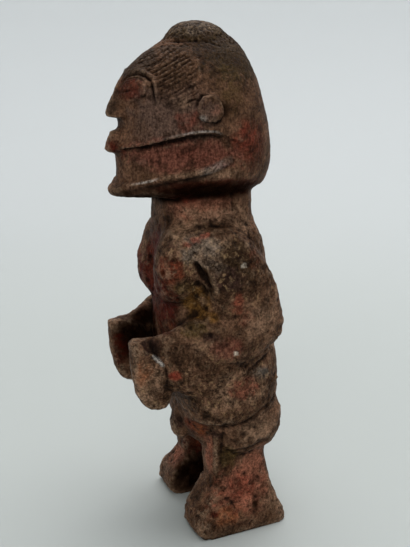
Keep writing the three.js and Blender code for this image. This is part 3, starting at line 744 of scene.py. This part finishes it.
# (pigment, centre, half sizes, strength, strength on the other side); later ones cover earlier ones
patches = [
    ("mauve", (24, -22, 225), (26, 34, 28), 0.9, 0.9),  # face
    ("smoke", (4, -27, 250), (22, 18, 14), 0.95, 0.95),  # forehead
    ("umber", (22, 16, 238), (30, 34, 32), 0.8, 0.8),  # back of the head
    ("hair", (20, 14, 258), (30, 34, 26), 0.95, 0.95),
    ("olive", (29, 8, 241), (12, 12, 24), 0.5, 0.5),
    ("hair", (28, 16, 246), (12, 12, 20), 0.3, 0.3),
    ("hair", (8, 0, 266), (28, 26, 10), 0.9, 0.9),  # cap
    ("olive", (8, 0, 266), (28, 26, 8), 0.5, 0.5),
    # painted sheen on the cap, lighter and greyer on top
    ("grey", (7, 0, 268), (24, 24, 8), 0.5, 0.5),
    ("smoke", (12, -12, 257), (18, 16, 3.6), 0.8, 0.8),
    ("umber", (18, -15, 244), (14, 17, 20), 0.9, 0.9),  # hair
    ("hair", (18, -15, 246), (13, 16, 17), 0.55, 0.55),
    ("tan", (27, -15, 233), (8, 8, 8), 0.5, 0.5),
    ("darkRed", (30, 20, 212), (14, 20, 18), 0.7, 0.7),
    ("red", (33, 16, 215), (13, 15, 15), 0.45, 0.45),
    ("wine", (24, -16, 208), (28, 48, 12), 1.0, 1.0),  # mouth band
    ("red", (28, -10, 209), (16, 26, 7), 0.25, 0.25),
    ("darkRed", (8, -42, 208), (9, 7, 10), 0.6, 0.6),
    ("grey", (16, -33, 205), (7, 7, 5), 0.25, 0.25),
    # painted highlight on the lit top of the jaw's ledge
    ("tan", (29, -2, 198.6), (14, 24, 5), 0.7, 0.7),
    ("hair", (24, 30, 205), (18, 14, 17), 0.55, 0.55),
    ("darkRed", (10, -35, 238.5), (14, 10, 8), 0.75, 0.75),  # eye
    ("red", (12, -34, 236), (7, 6, 4), 0.2, 0.2),
    ("tan", (16.5, -29, 241), (3, 2.6, 4), 0.4, 0.4),
    ("umber", (14, -34, 219), (14, 13, 10), 0.5, 0.5),
    ("smoke", (2, -43, 235), (10, 8, 13), 0.8, 0.8),  # brow and nose
    # painted shade under the brow
    ("paintedShade", (3, -41, 230), (8, 5, 4), 0.5, 0.5),
    ("darkRed", (3, -42, 211), (6, 6, 5), 0.8, 0.8),  # lip
    ("red", (30, -13, 224), (9, 13, 9), 0.45, 0.45),  # beside the ear
    ("mauve", (34, -2, 229), (5, 6, 7), 0.8, 0.8),
    ("violet", (33, -7.4, 232), (4, 3, 4), 0.8, 0.8),
    ("pink", (34.4, -0.5, 229), (4, 4.6, 5), 0.4, 0.4),
    # painted shade round the ear's edge
    ("paintedShade", (30, -9.4, 233.6), (5, 5, 4), 0.6, 0.6),
    ("paintedShade", (32, 5.6, 229), (4, 2.6, 8), 0.7, 0.7),
    ("paintedShade", (31, -2, 222.4), (4, 7, 1.8), 0.8, 0.8),
    ("pink", (20, -4, 182), (18, 26, 13), 0.75, 0.75),  # neck
    ("tan", (24, -2, 177), (16, 24, 8), 0.7, 0.7),
    ("red", (21, -11, 187.5), (12, 14, 5), 0.9, 0.8),
    ("tan", (30, 18, 176), (12, 12, 14), 0.7, 0.6),
    ("tan", (26, -14, 170), (16, 18, 9), 0.7, 0.7),  # chest
    # grey chest and shoulder top, lightened further by a painted sheen
    ("grey", (32, -6, 162), (12, 17, 13), 0.95, 0.9),
    ("violet", (24, -20, 164), (6, 7, 6), 0.55, 0.4),
    ("tan", (32, -6, 159), (7, 8, 6), 0.7, 0.6),
    ("umber", (31, 3, 171), (10, 10, 6), 0.9, 0.7),
    # painted shade at the foot of the neck
    ("paintedShade", (29, 4, 172), (5, 6, 3), 0.5, 0.4),
    ("red", (30.6, -5.4, 169.2), (4, 5, 3), 0.7, 0.3),
    ("red", (29.7, -9.1, 166.9), (4, 5, 3), 0.7, 0.3),
    ("red", (27.5, -13, 164.4), (4, 5, 3), 0.65, 0.3),
    ("rust", (24.8, -21.6, 151.6), (12, 9.5, 11), 1.0, 0.9),
    ("red", (25.6, -21, 152.6), (8, 7, 7), 0.35, 0.3),
    ("olive", (28, -14, 142), (9, 9, 6), 0.8, 0.7),
    # painted shade in the nipple's pit
    ("paintedShade", (22.5, -24, 150), (2.6, 2.6, 2.4), 0.8, 0.6),
    ("umber", (38, 10, 154), (9, 14, 13), 0.5, 0.4),
    ("hair", (38, 9, 158), (10, 15, 16), 0.85, 0.5),
    ("hair", (39, 14, 144), (8, 11, 11), 0.6, 0.4),
    ("violet", (33, -5, 143), (3.6, 4.4, 8), 0.9, 0.8),
    ("violet", (38, 5, 147), (9, 12, 11), 0.9, 0.5),
    ("grey", (39, -1, 154), (6, 7, 7), 0.5, 0.4),
    ("darkRed", (38, 18, 157), (6, 8, 10), 0.5, 0.4),
    ("darkRed", (3, -25, 152), (10, 14, 30), 1.0, 0),  # between the breasts
    ("darkRed", (9, -24, 160), (8, 7, 16), 1.0, 0),
    ("red", (8, -24, 166), (5, 8, 8), 0.5, 0),
    ("darkRed", (15, -22, 132), (16, 12, 27), 1.0, 1.0),  # belly
    ("red", (18, -21, 127), (7, 8, 10), 0.3, 0.3),
    ("darkRed", (5, -21, 138), (11, 12, 44), 0.9, 0.9),
    ("orange", (14, -17, 117), (7, 8, 5), 0.35, 0.3),
    ("ochre", (26, -7, 133), (10, 11, 15), 0.9, 0.8),  # flank
    ("tan", (27.5, -4.4, 134), (4, 3.6, 4.4), 0.7, 0.5),
    ("ochre", (35, -4, 127.6), (7, 8, 4.4), 0.8, 0.5),
    ("olive", (32, -11, 121), (10, 12, 6), 0.9, 0.7),
    ("red", (40, 9, 134), (6, 5, 9), 0.65, 0.3),
    ("red", (40, 14, 126), (6, 7, 7), 0.45, 0.3),
    ("tan", (38, 22, 124), (12, 16, 18), 0.7, 0.6),  # elbow
    ("tan", (36, -8, 112), (8, 14, 8), 0.5, 0.4),
    ("darkRed", (39, 3, 112), (8, 15, 9), 0.4, 0.3),
    ("wine", (39, 4, 111), (8, 14, 9), 0.8, 0.4),
    ("red", (39, 6, 112), (7, 9, 6), 0.3, 0.2),
    ("violet", (37, -5, 118), (5, 8, 3.6), 0.8, 0.5),
    ("umber", (38, 0, 101), (8, 16, 7), 0.7, 0.6),
    ("red", (29, -20.6, 97), (5, 5, 4), 1.0, 0.3),
    ("tan", (24, -34, 92), (10, 14, 18), 0.9, 0.8),  # hand
    ("orange", (24, -36, 98), (7, 8, 10), 0.6, 0.6),
    ("violet", (20, -31, 111), (9, 10, 6), 1.0, 1.0),
    ("blueGrey", (37, 25, 93), (8, 10, 6), 0.75, 0.5),
    ("tan", (38, 12, 86), (9, 22, 14), 0.8, 0.6),
    ("red", (38, 14, 87), (9, 13, 10), 0.6, 0.4),
    ("tan", (36, 0, 78), (12, 16, 7), 0.5, 0.5),
    ("umber", (36, 8, 71), (9, 22, 5), 0.7, 0.5),
    ("tan", (37, 24, 62), (10, 16, 12), 0.85, 0.7),  # seat
    ("violet", (6, -12, 58), (12, 8, 7), 0.8, 0.8),  # knot
    ("rust", (18, -5, 60), (11, 11, 11), 0.95, 0.9),  # fringe
    ("orange", (20, -3, 60), (6, 6, 8), 0.6, 0.5),
    ("violet", (29, 3, 58), (7, 6, 4), 0.9, 0.7),
    ("olive", (31, 9, 43), (9, 8, 13), 0.9, 0.8),
    # painted shade under the seat
    ("paintedShade", (29.5, 6, 43), (4, 5, 12), 0.4, 0.3),
    ("red", (33, 14, 22), (18, 32, 24), 0.45, 0.4),
    ("pink", (24, -0.5, 44), (6.5, 5, 18), 0.95, 0.6),  # front of the shin
    ("mauve", (-24, -2, 17), (14, 16, 14), 0.7, 0),
    ("pink", (-21, -2, 23), (12, 14, 11), 0.8, 0),
    ("pink", (34, 26, 34), (14, 14, 22), 0.8, 0.7),
    ("pink", (33, 17, 27), (15, 18, 20), 0.85, 0.75),  # instep
    ("red", (32, 17, 25), (13, 12, 12), 0.6, 0.5),
    ("orange", (35, 6, 12), (12, 14, 8), 0.6, 0.5),
    ("violet", (20, -12, 13), (14, 5, 13), 0.5, 0.4),
    ("umber", (28, -9, 12), (12, 8, 14), 0.5, 0.4),
    ("tan", (36, 34, 14), (8, 10, 9), 0.5, 0.4),
    ("darkRed", (35, -1.3, 14), (4, 3.6, 3.4), 0.9, 0),
    # painted shade in the hollow of the foot
    ("paintedShade", (35, 23.8, 14.3), (3.6, 3.4, 3.4), 0.8, 0),
    ("pale", (40.2, 12.1, 154.2), (1.8, 1.8, 1.4), 1.0, 0),
    ("pale", (40.1, 8, 108.6), (1.5, 1.4, 1.3), 1.0, 0),
    # painted glint on the ear
    ("pale", (33.5, -8, 225.5), (1.6, 1.8, 1.6), 0.9, 0),
    # painted shade where light can't reach: under the jaw and the soles, in the armpits, between the legs and
    # on the far arm's inner face; the dark reds among it are their own colour
    ("darkRed", (27, 0, 191.5), (22, 44, 8), 0.8, 0.8),
    ("paintedShade", (0, -16, 187), (42, 46, 8), 1.0, 0),
    ("paintedShade", (27, 0, 190.2), (22, 46, 8.6), 0.97, 0.97),
    ("paintedShade", (34, -6, 147), (5, 5, 9), 0.9, 0.9),
    ("paintedShade", (33.6, -4, 142), (4.4, 5, 7), 0.75, 0.7),
    ("paintedShade", (-6, 7, 13), (17.5, 36, 27), 1.0, 0),
    ("darkRed", (-8, 7, 38), (15, 20, 16), 1.0, 0),
    ("rust", (-9, 6, 37), (7, 12, 9), 0.9, 0),
    ("paintedShade", (-8, -29, 105), (14, 30, 28), 1.0, 0),
    ("paintedShade", (-14, -21, 119), (12, 20, 16), 1.0, 0),
    ("darkRed", (-13, -38, 97), (5, 8, 16), 0.7, 0),
    ("paintedShade", (35, 4, 0), (18, 44, 3.2), 0.8, 0.8),
]

# how strongly each kind of wear shows: (centre, half sizes, strength), both sides
wear = {
    # dry crust that has broken into light crumbs
    "crust": [((30, 0, 150), (30, 60, 40), 1.0), ((30, 0, 90), (30, 70, 45), 1.0),
              ((30, 6, 20), (30, 60, 30), 0.25), ((8, 0, 266), (34, 34, 9), 0.4),
              ((29, -2, 202), (14, 28, 5), 0.6)],
    # small dark pits
    "pitted": [((30, 0, 150), (40, 70, 50), 0.9), ((30, 0, 90), (40, 80, 50), 1.0),
               ((30, 6, 20), (30, 60, 40), 0.7), ((8, 0, 266), (34, 34, 9), 1.0),
               ((0, 0, 215), (60, 60, 60), 0.35)],
    # upright grain
    "grained": [((0, 0, 215), (60, 60, 50), 1.0), ((0, 0, 182), (40, 40, 16), 0.8),
                ((26, 10, 40), (20, 30, 26), 0.3)],
    # waxy polish, with a painted highlight on it; this patch is a painted glint on the ear
    "glossAndHighlight": [((34, -7, 225.6), (3, 3, 2.6), 0.6)],
}

# edges that hands have polished, with a painted highlight along them: places as seen from the side, width,
# strength at even steps
polishAndHighlightLines = [
    ([(-26, 215.2), (-18.5, 217.3), (-12, 218.8), (-5.3, 219.4), (0, 219.2), (3, 218)], 0.8,
     (0.1, 0.3, 0.9, 1.2, 1.0, 0.3)),
    ([(-9, 199.2), (-4, 200.8), (0, 202.2), (5, 204.4), (7.5, 205.6)], 3.0, (0.0, 0.35, 0.5, 0.4, 0.1)),
    ([(-36.2, 193.8), (-33.9, 194.4), (-28.4, 196), (-25.6, 197.2)], 0.7, (0.3, 1.4, 1.2, 0.2)),
    ([(-30.4, 107.2), (-28.6, 104.9), (-26.4, 102.4)], 1.3, (1.5, 1.7, 1.4)),  # painted highlight on the chip on the hand
]

# what makes a place dark, as painted shade in the hollows and on what faces down, and as darker cuts: where
# it starts, where it is full, strength
darkening = {
    "fineHollow": (0.03, 0.2, 0.5),
    "broadHollow": (0.25, 1.3, 0.7),
    "underside": (0.25, 0.9, 0.6),
    "cut": 0.9,
}

# what hands have rubbed
rubbing = {
    "fineRidge": (0.03, 0.16, 0.6),
    "broadSwelling": (0.5, 1.5, 0.6),
}


def graded(values, grading):
    start, full, strength = grading
    return strength * fade(values, start, full)


def paint(piece, skin, groove):
    # lays the pigments on the skin as a colour for each point, and the kinds of wear as shares
    clouds = [noiseAt(skin.co, size, 5 + i, 4) for i, size in enumerate(laying["clouds"])]
    paintedShadeShare, smooth = np.zeros((2, len(skin.co)))
    share = fade(clouds[0] + 0.4 * clouds[2], -0.5, 0.5)[:, None]
    colour = (1 - share) * np.array(linear(pigments["umber"])) + share * np.array(linear(pigments["brown"]))
    for i, (pigment, centre, halves, strength, other) in enumerate(patches):
        spread = strength * patch(skin.co, centre, halves)
        if other:
            spread = np.maximum(spread, other * patch(skin.co, mirrored(centre), halves))
        cloud = clouds[1 + i % 2]
        ragged, full = laying["paintedShadeEdge" if pigment == "paintedShade" else "edge"]
        share = strength * fade(spread + ragged * cloud * fade(spread, 0, 0.3), 0.05, full)
        colour += share[:, None] * (np.array(linear(pigments[pigment])) - colour)
        # the painted shade's share, kept apart
        if pigment == "paintedShade":
            paintedShadeShare = np.maximum(paintedShadeShare, share)
        elif pigment in smoothPigments:
            smooth = np.maximum(smooth, share)
    layer = piece.data.attributes.new("paint", "FLOAT_COLOR", "POINT")
    layer.data.foreach_set("color", colour.astype(np.float32).ravel())

    near = skin.mean(skin.co, 3)
    far = skin.mean(near, 26)
    fineHollow = skin.mean(((near - skin.co) * skin.normal).sum(1), 2)
    broadHollow = skin.mean(((far - skin.co) * skin.normal).sum(1), 2)
    # painted shade in the hollows, and darker cuts
    dark = graded(fineHollow, darkening["fineHollow"]) + graded(broadHollow, darkening["broadHollow"])
    dark += darkening["cut"] * groove
    # painted shade on what faces down
    dark += graded(-skin.normal[:, 2], darkening["underside"])
    rubbed = graded(-fineHollow, rubbing["fineRidge"]) + graded(-broadHollow, rubbing["broadSwelling"])
    shares = {"dark": np.clip(dark, 0, 1), "rubbed": np.clip(rubbed, 0, 1)}
    for name, places in wear.items():
        shares[name] = np.zeros(len(skin.co))
        for centre, halves, strength in places:
            for place in (centre, mirrored(centre)):
                shares[name] = np.maximum(shares[name], strength * patch(skin.co, place, halves))
    # crumbs and pits keep to their own islands, and painted shade covers the crumbs
    lessCrust, fewerPits = laying["smoothHides"]
    crustIslands = 0.15 + 0.85 * fade(clouds[0], -0.35, 0.45)
    pitIslands = 0.35 + 0.65 * fade(-clouds[0] + 0.5 * clouds[1], -0.4, 0.4)
    shares["crust"] *= (1 - paintedShadeShare) * (1 - lessCrust * smooth) * crustIslands
    shares["pitted"] *= (1 - fewerPits * smooth) * pitIslands
    shares["grained"] *= 1 - 0.8 * paintedShadeShare
    shares["rubbed"] *= 1 - paintedShadeShare
    # bare: all that the painted shade leaves uncovered
    shares["bare"] = 1 - paintedShadeShare
    tree = skin.tree()
    # painted highlight and polish along the polished edges
    for knots, width, strengths in polishAndHighlightLines:
        for side in (1, -1):
            picked, away, along = skin.near(onSurface(tree, side, knots), width)
            strength = np.interp(along, np.linspace(0, 1, len(strengths)), strengths)
            shine = strength * fade(1 - away / width, 0, 0.7)
            shares["glossAndHighlight"][picked] = np.maximum(shares["glossAndHighlight"][picked], shine)
    for name, values in shares.items():
        layer = piece.data.attributes.new(name, "FLOAT", "POINT")
        layer.data.foreach_set("value", values.astype(np.float32))


# Finish: worn painted wood, hand carved. Old pigments under a waxy patina, so the eye sees broken colour:
# dark pits and grain in it, light dry crumbs on it, painted shade in the hollows and under things, and a dull
# shine with painted highlights on what is rubbed.

finish = {
    "grainStretch": 0.13,  # scale of the grain upwards: the smaller, the longer it runs
    # pattern: size in mm, detail, roughness, and whether it is the veins between the clouds
    "patterns": {
        "mottle": (7.0, 5.0, 0.62, False),
        "stain": (3.2, 5.0, 0.65, False),
        "vein": (4.4, 4.0, 0.6, True),
        "crumb": (1.7, 3.0, 0.6, False),
        "fleck": (2.2, 4.0, 0.65, False),
        "fine": (1.3, 3.0, 0.7, False),
        "grain": (0.9, 3.0, 0.6, False),
    },
    # coats from the wood outwards: colour, pattern, where the pattern starts and is full, the wear that the
    # coat keeps to, strength
    "coats": [
        ("#24140a", "mottle", 0.53, 0.37, None, 0.62),
        ("#231409", "stain", 0.50, 0.38, "pitted", 0.8),
        ("#1c0f07", "vein", 0.05, 0.01, "pitted", 0.7),
        ("#a5855f", "fleck", 0.50, 0.66, "crust", 0.5),
        ("#120904", "crumb", 0.44, 0.35, "pitted", 0.85),
        # painted shade: near black where the hollows, cuts and undersides are dark
        ("#0e0603", "mottle", 0.0, 0.3, "dark", 0.92),
        ("#9c8068", "fleck", 0.36, 0.56, "rubbed", 0.42),
        # painted highlight: pale grey where it is polished
        ("#9b938b", "fine", 0.36, 0.56, "glossAndHighlight", 0.5),
    ],
    # fine play of light and dark: pattern, its low and high, what the colour gains at each, the wear that
    # it keeps to
    "shades": [
        ("fine", 0.36, 0.66, -0.47, 0.78, "bare"),
        ("grain", 0.36, 0.64, 0.4, -0.55, "grained"),
    ],
    "ior": 1.45,
    "roughness": {"wood": 0.52, "rubbed": -0.12, "glossAndHighlight": -0.2},  # what rubbing and polish add to the wood's
    "specular": {"bare": 0.05, "glossAndHighlight": 0.5},
    "bump": 0.7,  # height of the finest relief in mm
    "relief": {"fine": 0.9, "grain": -0.6},  # shares of two patterns in it, beside the crumb's whole one
}


def wornPaintedWood():
    material = bpy.data.materials.new("hand_worn_painted_wood")
    material.use_nodes = True
    tree = material.node_tree
    tree.nodes.clear()
    place = addNode(tree, "ShaderNodeTexCoord")
    upright = addNode(tree, "ShaderNodeMapping", None,
                      {"Vector": (place, "Object"), "Scale": (1, 1, finish["grainStretch"])})
    patterns = {}
    for name, (size, detail, roughness, veined) in finish["patterns"].items():
        patterns[name] = addNode(tree, "ShaderNodeTexNoise", None, {
            "Vector": upright if name == "grain" else (place, "Object"),
            "Scale": 1 / (size * mm), "Detail": detail, "Roughness": roughness})
        if veined:
            middle = addNode(tree, "ShaderNodeMath", {"operation": "SUBTRACT"}, {0: patterns[name], 1: 0.5})
            patterns[name] = addNode(tree, "ShaderNodeMath", {"operation": "ABSOLUTE"}, {0: middle})
    layers = {name: (addNode(tree, "ShaderNodeAttribute", {"attribute_name": name}), "Fac")
              for name in ("dark", "rubbed", "bare", *wear)}
    colour = (addNode(tree, "ShaderNodeAttribute", {"attribute_name": "paint"}), "Color")
    for tint, pattern, start, full, where, strength in finish["coats"]:
        share = addNode(tree, "ShaderNodeMapRange", {"interpolation_type": "SMOOTHSTEP"}, {
            "Value": patterns[pattern], "From Min": start, "From Max": full, "To Max": strength})
        if where:
            share = addNode(tree, "ShaderNodeMath", {"operation": "MULTIPLY"}, {0: share, 1: layers[where]})
        colour = (addNode(tree, "ShaderNodeMix", {"data_type": "RGBA"}, {0: share, 6: colour, 7: tint}), 2)
    for pattern, low, high, start, full, where in finish["shades"]:
        gain = addNode(tree, "ShaderNodeMapRange", None, {
            "Value": patterns[pattern], "From Min": low, "From Max": high, "To Min": start, "To Max": full})
        gain = addNode(tree, "ShaderNodeMath", {"operation": "MULTIPLY_ADD"},
                       {0: gain, 1: layers[where], 2: 1.0})
        colour = addNode(tree, "ShaderNodeVectorMath", {"operation": "SCALE"}, {0: colour, "Scale": gain})
    roughness = finish["roughness"]["wood"]
    for where in ("rubbed", "glossAndHighlight"):
        roughness = addNode(tree, "ShaderNodeMath", {"operation": "MULTIPLY_ADD"},
                            {0: layers[where], 1: finish["roughness"][where], 2: roughness})
    specular = 0.0
    for where, amount in finish["specular"].items():
        specular = addNode(tree, "ShaderNodeMath", {"operation": "MULTIPLY_ADD"},
                           {0: layers[where], 1: amount, 2: specular})
    height = patterns["crumb"]
    for pattern, amount in finish["relief"].items():
        height = addNode(tree, "ShaderNodeMath", {"operation": "MULTIPLY_ADD"},
                         {0: patterns[pattern], 1: amount, 2: height})
    bump = addNode(tree, "ShaderNodeBump", None,
                   {"Height": height, "Strength": 1.0, "Distance": finish["bump"] * mm})
    shader = addNode(tree, "ShaderNodeBsdfPrincipled", None, {
        "Base Color": colour, "Roughness": roughness, "IOR": finish["ior"], "Specular IOR Level": specular,
        "Normal": bump})
    addNode(tree, "ShaderNodeOutputMaterial", None, {"Surface": shader})
    return material


figure = makeCarving()
figure.data.materials.clear()
figure.data.materials.append(wornPaintedWood())
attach(figure, "root")
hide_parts("carved_figure")
print("finish laid on")
